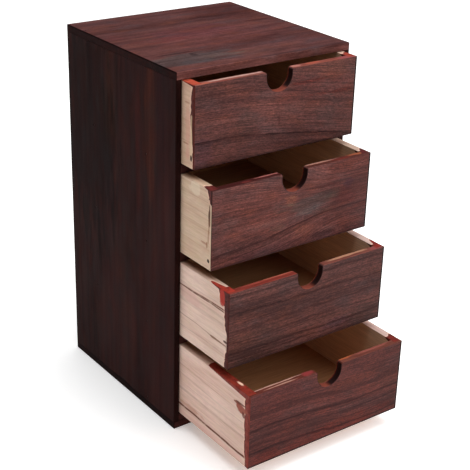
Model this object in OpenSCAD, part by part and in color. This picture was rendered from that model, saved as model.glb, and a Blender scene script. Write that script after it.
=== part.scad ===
// Small wooden desk chest: an open-fronted cabinet of butt-jointed boards with four
// drawers, one above the other. The drawers are open-topped boxes whose fronts have a
// finger notch and no knob. The origin is the centre of the cabinet's underside, +Z is
// up and the drawers pull out towards -Y. Drawer 1 is the top one. Sizes in millimetres.

/* [Cabinet] */
// Outside width
cabinet_w = 136; // [100:1:200]
// Outside depth
cabinet_d = 134; // [100:1:200]
// Thickness of the top and bottom boards
cap_t = 5; // [4:0.5:10]
// Thickness of the two side panels
panel_t = 4; // [3:0.5:8]
// Thickness of the back panel, let in between the other boards
back_t = 4; // [3:0.5:8]
// Thickness of the shelf under each drawer
shelf_t = 6; // [4:0.5:10]
// Clear height over each shelf
bay_h = 54; // [45:1:80]

/* [Drawer boards] */
// Thickness of a drawer's front board
front_t = 5; // [4:0.5:8]
// Part of the front's thickness that covers the ends of the side boards
lip_t = 1.5; // [1:0.1:2]
// Thickness of a drawer's side boards
wall_t = 6; // [5:0.5:8]
// Thickness of a drawer's back board
rear_t = 5; // [4:0.5:8]
// Thickness of a drawer's floor
floor_t = 3.2; // [2:0.1:4]
// Height of the floor's underside over the drawer's lower edge
floor_rise = 5.3; // [3:0.1:8]
// Depth of the grooves in the side boards that hold the floor
groove_d = 3; // [1.5:0.5:3.5]

/* [Drawer clearances] */
// Gap between a drawer and each side panel
side_gap = 0.5; // [0.3:0.1:1.5]
// Gap between a drawer and the shelf under it
under_gap = 0.3; // [0.3:0.1:1]
// Gap between a drawer and the board over it
over_gap = 0.4; // [0.3:0.1:2]
// Gap between a closed drawer and the back panel
rear_gap = 0.5; // [0.3:0.1:5]

/* [Finger notch] */
// Width of the notch, whose lower end is half round
notch_w = 19.6; // [15:0.1:24]
// Depth of the notch below the front's top edge
notch_h = 13.4; // [12:0.1:20]
// Radius of the notch's two shoulders
shoulder_r = 2; // [0.5:0.1:3]

/* [How far each drawer stands open] */
// Drawer 1, the top one
open_1 = 13.1; // [0:0.1:100]
// Drawer 2
open_2 = 32.8; // [0:0.1:100]
// Drawer 3
open_3 = 52.9; // [0:0.1:100]
// Drawer 4, the bottom one
open_4 = 77.2; // [0:0.1:100]

/* [Brads] */
// Diameter of the wire brads
brad_d = 1.2; // [0.8:0.1:1.6]
// Length of the wire brads
brad_l = 14; // [10:1:16]
// Depth of a brad's head below the wood's surface
brad_sink = 0.4; // [0:0.1:1]

/* [Edges] */
// Width of the small bevel along the outer edges
ease = 0.5; // [0.2:0.1:1]

/* [Hidden] */

// Cabinet
bays = 4;
bay_pitch = shelf_t + bay_h;
cabinet_h = 2 * cap_t + bays * bay_pitch;
inside_w = cabinet_w - 2 * panel_t;
inside_d = cabinet_d - back_t;
panel_h = cabinet_h - 2 * cap_t;

// Drawers, each in its own frame: x = 0 in its middle, y = 0 on its face with +Y
// towards the back, z = 0 on its lower edge
drawer_w = inside_w - 2 * side_gap;
drawer_d = inside_d - rear_gap;
drawer_h = bay_h - under_gap - over_gap;
box_w = drawer_w - 2 * wall_t;
box_d = drawer_d - front_t - rear_t;
wall_d = drawer_d - lip_t;
opened = [open_1, open_2, open_3, open_4];
notch_r = notch_w / 2;
notch_z = drawer_h - notch_h + notch_r;

// Brads: the play round each one, their two heights in a drawer, and their distance from
// the cabinet's edges, in the outer boards and in the shelves
pilot_gap = 0.03;
brad_low = 6;
brad_high = 47;
brad_inset = 22;
shelf_inset = 34;

// How far a cut runs past the surface it starts from, and the facets of round shapes
cut_over = 1;
notch_fn = 96;
brad_fn = 24;

// Colours
stained = [0.30, 0.15, 0.13];
dark_stained = [0.20, 0.10, 0.09];
raw = [0.86, 0.76, 0.64];
steel = [0.62, 0.62, 0.62];

// Height of the top of the shelf that drawer n stands on
function shelf_top(n) = cap_t + (bays - n) * bay_pitch + shelf_t;

// Outline of a rectangle with its corners cut off
module eased_rect(w, h) {
    polygon([
        [ease, 0], [w - ease, 0], [w, ease], [w, h - ease],
        [w - ease, h], [ease, h], [0, h - ease], [0, ease]
    ]);
}

// Block with all twelve edges bevelled, centred on x, from y = 0 and z = 0
module eased_block(size) {
    translate([-size.x / 2, 0, 0])
    intersection() {
        linear_extrude(size.z) eased_rect(size.x, size.y);
        translate([0, size.y, 0])
        rotate([90, 0, 0]) linear_extrude(size.y) eased_rect(size.x, size.z);
        rotate([90, 0, 90]) linear_extrude(size.x) eased_rect(size.y, size.z);
    }
}

// Plain board centred on x, with its near lower edge at the given y and z
module board(size, y = 0, z = 0) {
    translate([-size.x / 2, y, z]) cube(size);
}

// Brad along +Z with its head at the origin, or its pilot hole, which is a little wider
// and is cut from outside the wood
module brad(hole) {
    gap = hole ? pilot_gap : 0;
    outside = hole ? brad_sink + cut_over : 0;
    translate([0, 0, -outside]) cylinder(d = brad_d + 2 * gap, h = brad_l + outside, $fn = brad_fn);
}

// The children at x = +w / 2 and x = -w / 2, facing inwards, sunk into the surface
module driven_from_sides(w, y, z) {
    for (s = [-1, 1]) {
        translate([s * (w / 2 - brad_sink), y, z]) rotate([0, -90 * s, 0]) children();
    }
}

// ---- Cabinet -------------------------------------------------------------------------

// Every brad of the cabinet: down and up into the panels' ends, and through the panels
// into the shelves and the back panel
module cabinet_brad_set(hole) {
    panel_mid = (cabinet_w - panel_t) / 2;
    rows = [brad_inset - cabinet_d / 2, 0, cabinet_d / 2 - brad_inset];
    for (x = [-panel_mid, panel_mid], y = rows) {
        translate([x, y, cabinet_h - brad_sink]) rotate([180, 0, 0]) brad(hole);
        translate([x, y, brad_sink]) brad(hole);
    }
    for (n = [1 : bays], y = [shelf_inset - cabinet_d / 2, cabinet_d / 2 - shelf_inset]) {
        driven_from_sides(cabinet_w, y, shelf_top(n) - shelf_t / 2) brad(hole);
    }
    for (z = [brad_inset, cabinet_h / 2, cabinet_h - brad_inset]) {
        driven_from_sides(cabinet_w, (cabinet_d - back_t) / 2, z) brad(hole);
    }
}

// A board of the cabinet: bevelled where it meets the cabinet's outer edges, and drilled
module cabinet_board() {
    difference() {
        intersection() {
            children();
            translate([0, -cabinet_d / 2, 0]) eased_block([cabinet_w, cabinet_d, cabinet_h]);
        }
        cabinet_brad_set(hole = true);
    }
}

module top_board() {
    color(stained)
    cabinet_board() board([cabinet_w, cabinet_d, cap_t], -cabinet_d / 2, cabinet_h - cap_t);
}

module bottom_board() {
    color(dark_stained)
    cabinet_board() board([cabinet_w, cabinet_d, cap_t], -cabinet_d / 2, 0);
}

module side_panel(side) {
    color(dark_stained)
    cabinet_board()
    translate([side * (cabinet_w - panel_t) / 2, 0, 0])
    board([panel_t, cabinet_d, panel_h], -cabinet_d / 2, cap_t);
}

module left_side() {
    side_panel(-1);
}

module right_side() {
    side_panel(1);
}

module back_panel() {
    color(dark_stained)
    cabinet_board() board([inside_w, back_t, panel_h], cabinet_d / 2 - back_t, cap_t);
}

module shelf(n) {
    color(dark_stained)
    cabinet_board() board([inside_w, inside_d, shelf_t], -cabinet_d / 2, shelf_top(n) - shelf_t);
}

module cabinet_brads() {
    color(steel) cabinet_brad_set(hole = false);
}

// ---- Drawers -------------------------------------------------------------------------

// The children, drawn in a drawer's own frame, at drawer n's place
module in_drawer(n) {
    translate([0, -cabinet_d / 2 - opened[n - 1], shelf_top(n) + under_gap]) children();
}

// Every brad of one drawer: through the side boards into the front and into the back
module drawer_brad_set(hole) {
    for (y = [(lip_t + front_t) / 2, drawer_d - rear_t / 2], z = [brad_low, brad_high]) {
        driven_from_sides(drawer_w, y, z) brad(hole);
    }
}

// A board of a drawer: bevelled where it meets the drawer's outer edges, and drilled
module drawer_board() {
    difference() {
        intersection() {
            children();
            eased_block([drawer_w, drawer_d, drawer_h]);
        }
        drawer_brad_set(hole = true);
    }
}

// The finger notch as a solid, running through the front board
module finger_notch() {
    deep = front_t + 2 * cut_over;
    translate([0, front_t + cut_over, 0]) rotate([90, 0, 0]) {
        translate([0, notch_z, 0]) cylinder(r = notch_r, h = deep, $fn = notch_fn);
        translate([-notch_r, notch_z, 0]) cube([notch_w, drawer_h - notch_z + cut_over, deep]);
        for (s = [-1, 1]) {
            translate([s * notch_r, drawer_h, 0]) shoulder_cut(s, deep);
        }
    }
}

// What is cut away to round one shoulder of the notch
module shoulder_cut(s, deep) {
    difference() {
        translate([s > 0 ? -cut_over : -shoulder_r, -shoulder_r, 0])
        cube([shoulder_r + cut_over, shoulder_r + cut_over, deep]);
        translate([s * shoulder_r, -shoulder_r, -cut_over])
        cylinder(r = shoulder_r, h = deep + 2 * cut_over, $fn = notch_fn);
    }
}

// Full-width front with the notch, and rabbets behind its two ends for the side boards
module drawer_front() {
    color(stained)
    difference() {
        drawer_board() board([drawer_w, front_t, drawer_h]);
        for (s = [-1, 1]) {
            translate([s * (drawer_w - wall_t + cut_over) / 2, 0, 0])
            board([wall_t + cut_over, front_t, drawer_h + 2 * cut_over], lip_t, -cut_over);
        }
        finger_notch();
    }
}

// Side board, from the front's rabbet to the drawer's rear end
module drawer_side(side) {
    color(raw)
    difference() {
        drawer_board()
        translate([side * (drawer_w - wall_t) / 2, 0, 0])
        board([wall_t, wall_d, drawer_h], lip_t);
        board([box_w + 2 * groove_d, box_d, floor_t], front_t, floor_rise);
    }
}

module drawer_back() {
    color(raw)
    drawer_board() board([box_w, rear_t, drawer_h], drawer_d - rear_t);
}

module drawer_floor() {
    color(raw) board([box_w + 2 * groove_d, box_d, floor_t], front_t, floor_rise);
}

module drawer_brads() {
    color(steel) drawer_brad_set(hole = false);
}

// ---- The chest -----------------------------------------------------------------------

top_board();
bottom_board();
left_side();
right_side();
back_panel();
cabinet_brads();

for (n = [1 : bays]) {
    shelf(n);
    in_drawer(n) drawer_front();
    in_drawer(n) drawer_side(-1);
    in_drawer(n) drawer_side(1);
    in_drawer(n) drawer_back();
    in_drawer(n) drawer_floor();
    in_drawer(n) drawer_brads();
}
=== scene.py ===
"""Small wooden desk chest with four open-topped drawers that have finger notches.

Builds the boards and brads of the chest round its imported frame: dark red-brown stain on
the outside, raw wood on the drawers' sides, and the stain that ran into the raw wood.
"""

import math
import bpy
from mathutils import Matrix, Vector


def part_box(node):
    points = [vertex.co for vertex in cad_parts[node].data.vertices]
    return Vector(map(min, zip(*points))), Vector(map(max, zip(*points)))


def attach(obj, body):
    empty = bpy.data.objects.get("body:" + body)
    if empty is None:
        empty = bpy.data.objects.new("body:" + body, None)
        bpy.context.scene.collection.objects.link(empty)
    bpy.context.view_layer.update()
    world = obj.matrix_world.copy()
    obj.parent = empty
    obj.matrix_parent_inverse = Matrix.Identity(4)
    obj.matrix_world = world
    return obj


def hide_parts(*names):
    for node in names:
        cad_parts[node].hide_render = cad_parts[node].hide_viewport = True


bl_info = {
    "name": "Desk chest with four drawers",
    "version": (1, 0, 0),
    "blender": (4, 5, 0),
    "location": "3D View > Sidebar > Desk chest",
    "description": "Models a small stained wooden chest of drawers, board by board",
    "category": "Object",
}

import bmesh
import bpy
from mathutils import Matrix, Vector

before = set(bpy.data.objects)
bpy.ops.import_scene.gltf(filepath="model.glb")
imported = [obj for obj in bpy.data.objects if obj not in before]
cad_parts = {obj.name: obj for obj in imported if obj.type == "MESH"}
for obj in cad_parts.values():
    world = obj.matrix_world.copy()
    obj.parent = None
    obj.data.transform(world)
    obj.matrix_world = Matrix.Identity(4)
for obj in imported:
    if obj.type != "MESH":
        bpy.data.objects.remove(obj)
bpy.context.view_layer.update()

MM = 0.001
DRAWERS = (1, 2, 3, 4)
SIDES = ("left", "right")
SHELVES = (1, 2, 3, 4)
# Two places nearer than this, in metres, are one
SAME = 1e-5
# An edge whose two faces turn by more than this, in radians, is a board's own edge
SHARP = 1.2
# How far apart a board's edges are cut, so that they can waver
SLICE = 9 * MM
# How far a cutter stands out of the wood
PAST = 2 * MM
# How many sides a brad and its hole, the notch's half round and its shoulders have
BRAD_SIDES, NOTCH_SIDES, SHOULDER_SIDES = 20, 72, 48


def paint(red, green, blue):
    """A colour as it looks on a screen, 0 to 255, as the linear numbers that Blender mixes."""
    def linear(level):
        share = level / 255
        return share / 12.92 if share <= 0.04045 else ((share + 0.055) / 1.055) ** 2.4
    return (linear(red), linear(green), linear(blue))


def opaque(colour):
    """The colour with full alpha, as a colour socket wants it."""
    return (colour[0], colour[1], colour[2], 1.0)


BLACK, WHITE = (0, 0, 0), (1, 1, 1)

# ---- Sizes and colours that a user would change --------------------------------------


class ChestSizes(bpy.types.PropertyGroup):
    """How the boards' edges and surfaces are worked."""

    edge_round: bpy.props.FloatProperty(
        name="Edge rounding", description="Rounding of the chest's outer edges",
        default=0.6 * MM, unit="LENGTH")
    seam_break: bpy.props.FloatProperty(
        name="Seam break", description="Rounding of edges where two boards meet",
        default=0.1 * MM, unit="LENGTH")
    sanding: bpy.props.FloatProperty(
        name="Hand sanding", description="Unevenness left by sanding by hand",
        default=0.14 * MM, unit="LENGTH")
    notch_width: bpy.props.FloatProperty(
        name="Notch width", description="Width of the finger notch",
        default=19.6 * MM, unit="LENGTH")
    notch_depth: bpy.props.FloatProperty(
        name="Notch depth", description="Depth of the finger notch under the top edge",
        default=13.4 * MM, unit="LENGTH")
    shoulder: bpy.props.FloatProperty(
        name="Notch shoulders", description="Rounding where the notch meets the top edge",
        default=2.0 * MM, unit="LENGTH")
    lip: bpy.props.FloatProperty(
        name="Front lip", description="Part of the front that covers the side boards' ends",
        default=1.5 * MM, unit="LENGTH")


class ChestColours(bpy.types.PropertyGroup):
    """The stain, the raw wood and the stain that ran into it."""

    stain_light: bpy.props.FloatVectorProperty(
        name="Stain, light", description="Stain on the lighter grain",
        subtype="COLOR", default=paint(112, 72, 66))
    stain_mid: bpy.props.FloatVectorProperty(
        name="Stain, middle", description="Stain on most of the wood",
        subtype="COLOR", default=paint(86, 53, 50))
    stain_dark: bpy.props.FloatVectorProperty(
        name="Stain, dark", description="Stain gathered in the open grain",
        subtype="COLOR", default=paint(48, 24, 22))
    raw_light: bpy.props.FloatVectorProperty(
        name="Raw wood, light", description="Raw wood between its growth lines",
        subtype="COLOR", default=paint(238, 210, 186))
    raw_dark: bpy.props.FloatVectorProperty(
        name="Raw wood, dark", description="Raw wood along its growth lines",
        subtype="COLOR", default=paint(206, 164, 138))
    bleed: bpy.props.FloatVectorProperty(
        name="Run stain", description="Stain that ran into the raw wood",
        subtype="COLOR", default=paint(134, 50, 38))
    bleed_dark: bpy.props.FloatVectorProperty(
        name="Run stain, edge", description="The dark rim of the stain that ran",
        subtype="COLOR", default=paint(74, 22, 16))
    wire: bpy.props.FloatVectorProperty(
        name="Brad wire", description="The steel of the brads",
        subtype="COLOR", default=paint(82, 68, 60))


class ChestStage(bpy.types.PropertyGroup):
    """Camera, light and floor."""

    camera_place: bpy.props.FloatVectorProperty(
        name="Camera place", description="Where the camera stands",
        subtype="TRANSLATION", unit="LENGTH", default=(-0.43369, -0.61864, 0.44473))
    camera_turn: bpy.props.FloatVectorProperty(
        name="Camera turn", description="How the camera is turned",
        subtype="EULER", default=[math.radians(a) for a in (65.664, -1.561, -36.084)])
    lens: bpy.props.FloatProperty(
        name="Lens", description="Focal length on a 36 mm sensor, in millimetres",
        default=88.62, unit="CAMERA")
    floor_colour: bpy.props.FloatVectorProperty(
        name="Floor", description="Colour of the floor",
        subtype="COLOR", default=paint(253, 253, 253))
    floor_glow: bpy.props.FloatProperty(
        name="Floor glow", description="Light that comes up through the white floor",
        default=0.3)
    sky: bpy.props.FloatProperty(
        name="Room light", description="Strength of the even light all round", default=0.16)
    overhead: bpy.props.FloatProperty(
        name="Overhead light", description="Power of the soft light above",
        default=89.0, unit="POWER")
    key: bpy.props.FloatProperty(
        name="Key light", description="Power of the soft light at the front right",
        default=54.0, unit="POWER")


# ---- Modelling -----------------------------------------------------------------------


def clear_selection():
    bpy.ops.object.select_all(action="DESELECT")


def pick(piece):
    """Makes the piece the only selected and the active object."""
    clear_selection()
    piece.select_set(True)
    bpy.context.view_layer.objects.active = piece


def new_block(name, low, high):
    """A block between two corners, with its place in its mesh."""
    clear_selection()
    bpy.ops.mesh.primitive_cube_add(size=1, location=(low + high) / 2)
    block = bpy.context.object
    block.name = name
    block.scale = high - low
    bpy.ops.object.transform_apply(location=True, rotation=True, scale=True)
    return block


def select_edges(piece, wanted):
    """In edit mode, selects the edges that pass the test and no others."""
    bpy.ops.mesh.select_mode(type="EDGE")
    bpy.ops.mesh.select_all(action="DESELECT")
    mesh = bmesh.from_edit_mesh(piece.data)
    for edge in mesh.edges:
        edge.select_set(wanted(edge))
    bmesh.update_edit_mesh(piece.data)


def is_sharp(edge):
    """Whether this is one of a board's own edges, and not one that rounding left."""
    return edge.calc_face_angle(0) > SHARP


def round_edges(piece, width, wanted, segments=3):
    """Rounds the edges that pass the test."""
    pick(piece)
    bpy.ops.object.mode_set(mode="EDIT")
    select_edges(piece, wanted)
    bpy.ops.mesh.bevel(offset_type="OFFSET", offset=width, segments=segments, profile=0.5)
    bpy.ops.object.mode_set(mode="OBJECT")


def slice_across(piece, axis, step):
    """Cuts the piece's faces at right angles to an axis, so that its edges can waver."""
    lows = [min(v.co[i] for v in piece.data.vertices) for i in range(3)]
    highs = [max(v.co[i] for v in piece.data.vertices) for i in range(3)]
    count = max(2, round((highs[axis] - lows[axis]) / step))
    normal = Vector((0, 0, 0))
    normal[axis] = 1
    pick(piece)
    bpy.ops.object.mode_set(mode="EDIT")
    for cut in range(1, count):
        place = Vector(lows)
        place[axis] += (highs[axis] - lows[axis]) * cut / count
        bpy.ops.mesh.select_all(action="SELECT")
        bpy.ops.mesh.bisect(plane_co=place, plane_no=normal)
    bpy.ops.object.mode_set(mode="OBJECT")


def apply_modifier(piece, modifier):
    """Works the modifier into the piece's mesh."""
    pick(piece)
    bpy.ops.object.modifier_apply(modifier=modifier.name)


def sand_by_hand(piece, depth, patch=12 * MM):
    """Takes a little off the surface unevenly, as sanding by hand does."""
    texture = bpy.data.textures.new(piece.name, "CLOUDS")
    texture.noise_scale = patch
    modifier = piece.modifiers.new("hand sanding", "DISPLACE")
    modifier.texture = texture
    modifier.texture_coords = "LOCAL"
    modifier.strength = depth
    modifier.mid_level = 1.0
    apply_modifier(piece, modifier)


def drop_spare_corners(piece):
    """Takes out the corners that a cut left part of the way along an edge."""
    mesh = bmesh.new()
    mesh.from_mesh(piece.data)
    spare = [vert for vert in mesh.verts if len(vert.link_edges) == 2]
    bmesh.ops.dissolve_verts(mesh, verts=spare)
    mesh.to_mesh(piece.data)
    mesh.free()


def carve(piece, cutters):
    """Takes the cutters out of the piece and removes them."""
    if not cutters:
        return
    pick(cutters[0])
    for cutter in cutters:
        cutter.select_set(True)
    if len(cutters) > 1:
        bpy.ops.object.join()
    cutter = bpy.context.object
    modifier = piece.modifiers.new("carving", "BOOLEAN")
    modifier.operation = "DIFFERENCE"
    modifier.solver = "EXACT"
    modifier.object = cutter
    apply_modifier(piece, modifier)
    bpy.data.objects.remove(cutter)
    drop_spare_corners(piece)


def smooth_shading(piece):
    """Shades the rounded edges smoothly and keeps the flat faces flat."""
    pick(piece)
    bpy.ops.object.shade_smooth_by_angle(angle=math.radians(40))
    modifier = piece.modifiers.new("flat faces", "WEIGHTED_NORMAL")
    modifier.keep_sharp = True
    apply_modifier(piece, modifier)


def dress(piece, node, body, material):
    """Shades the piece, paints it, and puts it in the place of its CAD node."""
    smooth_shading(piece)
    piece.data.materials.clear()
    piece.data.materials.append(material)
    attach(piece, body)
    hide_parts(node)


def on_box_faces(point, low, high):
    """How many of the box's six faces the point lies on."""
    return sum(
        abs(point[i] - low[i]) < SAME or abs(point[i] - high[i]) < SAME for i in range(3))


def loose_boxes(node):
    """The boxes of a CAD node's separate solids, in a settled order."""
    mesh = bmesh.new()
    mesh.from_mesh(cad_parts[node].data)
    bmesh.ops.remove_doubles(mesh, verts=mesh.verts, dist=SAME)
    left = set(mesh.verts)
    boxes = []
    while left:
        reached = [left.pop()]
        for vert in reached:
            near = {edge.other_vert(vert) for edge in vert.link_edges} & left
            left -= near
            reached.extend(near)
        spots = [vert.co for vert in reached]
        low = Vector([min(spot[i] for spot in spots) for i in range(3)])
        high = Vector([max(spot[i] for spot in spots) for i in range(3)])
        boxes.append((low, high))
    mesh.free()
    return sorted(boxes, key=lambda box: [round(c / MM, 2) for c in (*box[0], *box[1])])


def chest_box():
    """The cabinet's two corners."""
    low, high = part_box("bottom_board")
    return low, Vector((high.x, high.y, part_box("top_board")[1].z))


def drawer_box(n):
    """Drawer n's two corners."""
    low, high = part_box(f"drawer_{n}_front")
    return low, Vector((high.x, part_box(f"drawer_{n}_back")[1].y, high.z))


def brad_line(low, high):
    """A brad's middle, the axis it lies along, its length, and which way its head points."""
    chest_low, chest_high = chest_box()
    centre = (chest_low + chest_high) / 2
    size = high - low
    axis = max(range(3), key=lambda i: size[i])
    middle = (low + high) / 2
    outwards = 1 if middle[axis] > centre[axis] else -1
    return middle, axis, size[axis], outwards


def brad_holes(low, high, brads_node):
    """Cutters for the pilot holes that pass through a board between two corners."""
    play, past = 0.03 * MM, 1.5 * MM
    cutters = []
    for brad_low, brad_high in loose_boxes(brads_node):
        if any(brad_high[i] < low[i] or brad_low[i] > high[i] for i in range(3)):
            continue
        middle, axis, length, outwards = brad_line(brad_low, brad_high)
        middle[axis] += outwards * past / 2
        clear_selection()
        bpy.ops.mesh.primitive_cylinder_add(
            vertices=BRAD_SIDES, radius=min(brad_high - brad_low) / 2 + play,
            depth=length + past, location=middle,
            rotation=(0, math.pi / 2 if axis == 0 else 0, 0))
        cutters.append(bpy.context.object)
    return cutters


def plain_board(node, box, sizes, grain_axis, brads_node=None):
    """One board: outer edges rounded, joint edges just broken, sanded and drilled."""
    low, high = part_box(node)
    board = new_block("wood_" + node, low, high)

    def outer(edge):
        middle = (edge.verts[0].co + edge.verts[1].co) / 2
        return on_box_faces(middle, *box) >= 2

    round_edges(board, sizes.edge_round, outer)
    round_edges(board, sizes.seam_break, is_sharp, 1)
    slice_across(board, grain_axis, SLICE)
    sand_by_hand(board, sizes.sanding)
    if brads_node:
        carve(board, brad_holes(low, high, brads_node))
    return board


# ---- Finishes ------------------------------------------------------------------------

# The Mix node's own numbers for its two colours and for the colour it gives
MIX_FIRST, MIX_SECOND, MIX_RESULT = 6, 7, 2
# How far apart, in waves along X, Y and Z, two seeds look at the same noise
SEED_STEP = (17.3, 31.7, 11.9)
# The first seed of each kind of pattern, and the step from one board's to the next one's
SEEDS = {
    "shelf": (40, 3), "front": (60, 7), "front wander": (70, 1), "front ragged": (80, 1),
    "front patch": (90, 1), "front behind": (100, 1), "side": (120, 11), "back": (180, 3),
    "floor": (200, 3),
}


def seed_of(kind, n):
    """The seed of one kind of pattern on board or drawer n."""
    first, step = SEEDS[kind]
    return first + step * n


class Finish:
    """A material being mixed. Each method adds nodes and gives back an output."""

    def __init__(self, name):
        self.material = bpy.data.materials.new(name)
        self.material.use_nodes = True
        self.tree = self.material.node_tree
        self.tree.nodes.clear()

    def add(self, kind, *inputs, **settings):
        """A node with its first inputs fed in order."""
        node = self.tree.nodes.new("ShaderNode" + kind)
        for name, value in settings.items():
            setattr(node, name, value)
        for socket, value in zip(node.inputs, inputs):
            self.feed(socket, value)
        return node

    def feed(self, socket, value):
        """Links an output to the socket, or sets the socket's own value."""
        if isinstance(value, bpy.types.NodeSocket):
            self.tree.links.new(value, socket)
        elif value is not None:
            socket.default_value = opaque(value) if socket.type == "RGBA" else value

    def math(self, operation, *values):
        """What a Math node makes of the numbers."""
        return self.add("Math", *values, operation=operation).outputs[0]

    def plus(self, first, second):
        return self.math("ADD", first, second)

    def minus(self, first, second):
        return self.math("SUBTRACT", first, second)

    def product(self, first, second):
        return self.math("MULTIPLY", first, second)

    def larger(self, first, second):
        return self.math("MAXIMUM", first, second)

    def smaller(self, first, second):
        return self.math("MINIMUM", first, second)

    def smooth(self, value, start, end, low=0.0, high=1.0):
        """From low, where value is at start, smoothly to high, where it is at end."""
        node = self.add("MapRange", value, start, end, low, high,
                        interpolation_type="SMOOTHSTEP")
        return node.outputs[0]

    def ragged(self, noise, reach):
        """From -reach to reach, as the noise goes from low to high."""
        return self.smooth(noise, 0.3, 0.7, -reach, reach)

    def vector(self, x, y, z):
        return self.add("CombineXYZ", x, y, z).outputs[0]

    def noise(self, place, stretch, seed, detail=3.0, roughness=0.55):
        """Noise over a place in millimetres, with so many waves per millimetre each way."""
        offset = tuple(seed * step for step in SEED_STEP)
        moved = self.add("Mapping", place, offset, None, stretch).outputs[0]
        node = self.add("TexNoise", moved)
        for name, value in (("Scale", 1.0), ("Detail", detail), ("Roughness", roughness)):
            node.inputs[name].default_value = value
        return node.outputs[0]

    def blend(self, amount, first, second, mode="MIX"):
        """The first colour, with so much of the second."""
        node = self.tree.nodes.new("ShaderNodeMix")
        node.data_type = "RGBA"
        node.blend_type = mode
        self.feed(node.inputs[0], amount)
        self.feed(node.inputs[MIX_FIRST], first)
        self.feed(node.inputs[MIX_SECOND], second)
        return node.outputs[MIX_RESULT]

    def curve(self, value, points, width, height, handle="VECTOR"):
        """A height read off a line through points, both in millimetres."""
        share = self.math("DIVIDE", value, width)
        node = self.add("FloatCurve", None, share)
        line = node.mapping.curves[0]
        while len(line.points) < len(points):
            line.points.new(0.5, 0.5)
        for spot, (x, y) in zip(line.points, points):
            spot.location = (x / width, y / height)
            spot.handle_type = handle
        node.mapping.update()
        return self.product(node.outputs[0], height)

    def ramp(self, value, stops):
        """A colour read off a row of (place, colour) stops."""
        node = self.add("ValToRGB", value)
        marks = node.color_ramp.elements
        while len(marks) < len(stops):
            marks.new(0.5)
        for mark, (place, colour) in zip(marks, stops):
            mark.position = place
            mark.color = opaque(colour)
        return node.outputs[0]

    def patches(self, colour, u, v, marks, ragged, mode="MULTIPLY", soft=0.3):
        """Works marks into the colour, each (u, v, reach along u and v, colour, strength)."""
        place = self.vector(u, v, 0.0)
        for at_u, at_v, reach_u, reach_v, shade, strength in marks:
            moved = self.add("Mapping", place, (-at_u / reach_u, -at_v / reach_v, 0), None,
                             (1 / reach_u, 1 / reach_v, 0)).outputs[0]
            length = self.add("VectorMath", moved, operation="LENGTH").outputs["Value"]
            amount = self.smooth(self.plus(length, ragged), 1 + soft, 1 - soft, 0.0, strength)
            colour = self.blend(amount, colour, shade, mode)
        return colour

    def times(self, amount, colour, tint):
        """The colour, with so much of it multiplied by a tint."""
        return self.blend(amount, colour, tint, "MULTIPLY")

    def lightened(self, colour, value):
        """The colour, made lighter or darker by a number round 1."""
        grey = self.add("CombineColor", value, value, value).outputs[0]
        return self.blend(1.0, colour, grey, "MULTIPLY")

    def position(self, corner):
        """Millimetres from a corner along X, Y and Z, each as an output."""
        place = self.add("TexCoord").outputs["Object"]
        start = tuple(-c / MM for c in corner)
        scale = (1 / MM, 1 / MM, 1 / MM)
        local = self.add("Mapping", place, start, None, scale).outputs[0]
        return self.add("SeparateXYZ", local).outputs[:3]

    def shade(self, colour, roughness, height, depth, specular):
        """Ends the material: colour, roughness, and relief in millimetres."""
        shader = self.add("BsdfPrincipled")
        bump = self.add("Bump")
        bump.inputs["Strength"].default_value = 1.0
        bump.inputs["Distance"].default_value = depth * MM
        self.feed(bump.inputs["Height"], height)
        self.feed(shader.inputs["Base Color"], colour)
        self.feed(shader.inputs["Roughness"], roughness)
        shader.inputs["Specular IOR Level"].default_value = specular
        self.feed(shader.inputs["Normal"], bump.outputs[0])
        end = self.add("OutputMaterial")
        self.feed(end.inputs["Surface"], shader.outputs[0])
        return self.material


def along_grain(axes, board):
    """The three places put in order: along the grain, across it and through the board."""
    x, y, z = axes
    return {"flat": (x, y, z), "side": (z, y, x), "back": (z, x, y),
            "drawer back": (x, z, y)}[board]


def grain_lines(finish, along, across, lines, waver):
    """A darkening of 0 to 1 along lines, each (height, half width, strength, slope)."""
    place = finish.plus(across, waver)
    total = None
    for height, half_width, strength, slope in lines:
        level = finish.minus(place, finish.product(along, slope)) if slope else place
        off = finish.math("ABSOLUTE", finish.minus(level, height))
        line = finish.smooth(off, 0.25 * half_width, half_width, strength, 0.0)
        total = line if total is None else finish.larger(total, line)
    return total


# The stain where it took redder and greyer, and how open pores and growth lines darken it
STAIN_RED, STAIN_GREY = paint(102, 58, 46), paint(80, 60, 60)
PORE_TINT, GROWTH_TINT = (0.3, 0.24, 0.24), (0.22, 0.11, 0.1)
# Raw wood: its middle tone, its pinker and yellower places, and its growth lines
RAW_MID, RAW_LINE = paint(230, 197, 173), paint(100, 44, 22)
RAW_PINK, RAW_YELLOW = paint(220, 178, 162), paint(222, 196, 160)
# The browner wood inside the drawers, from its darker to its lighter places, made darker partly as
# painted shade of the drawers' insides
INNER_DARK, INNER_LIGHT = paint(184, 132, 92), paint(202, 150, 108)


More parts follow.
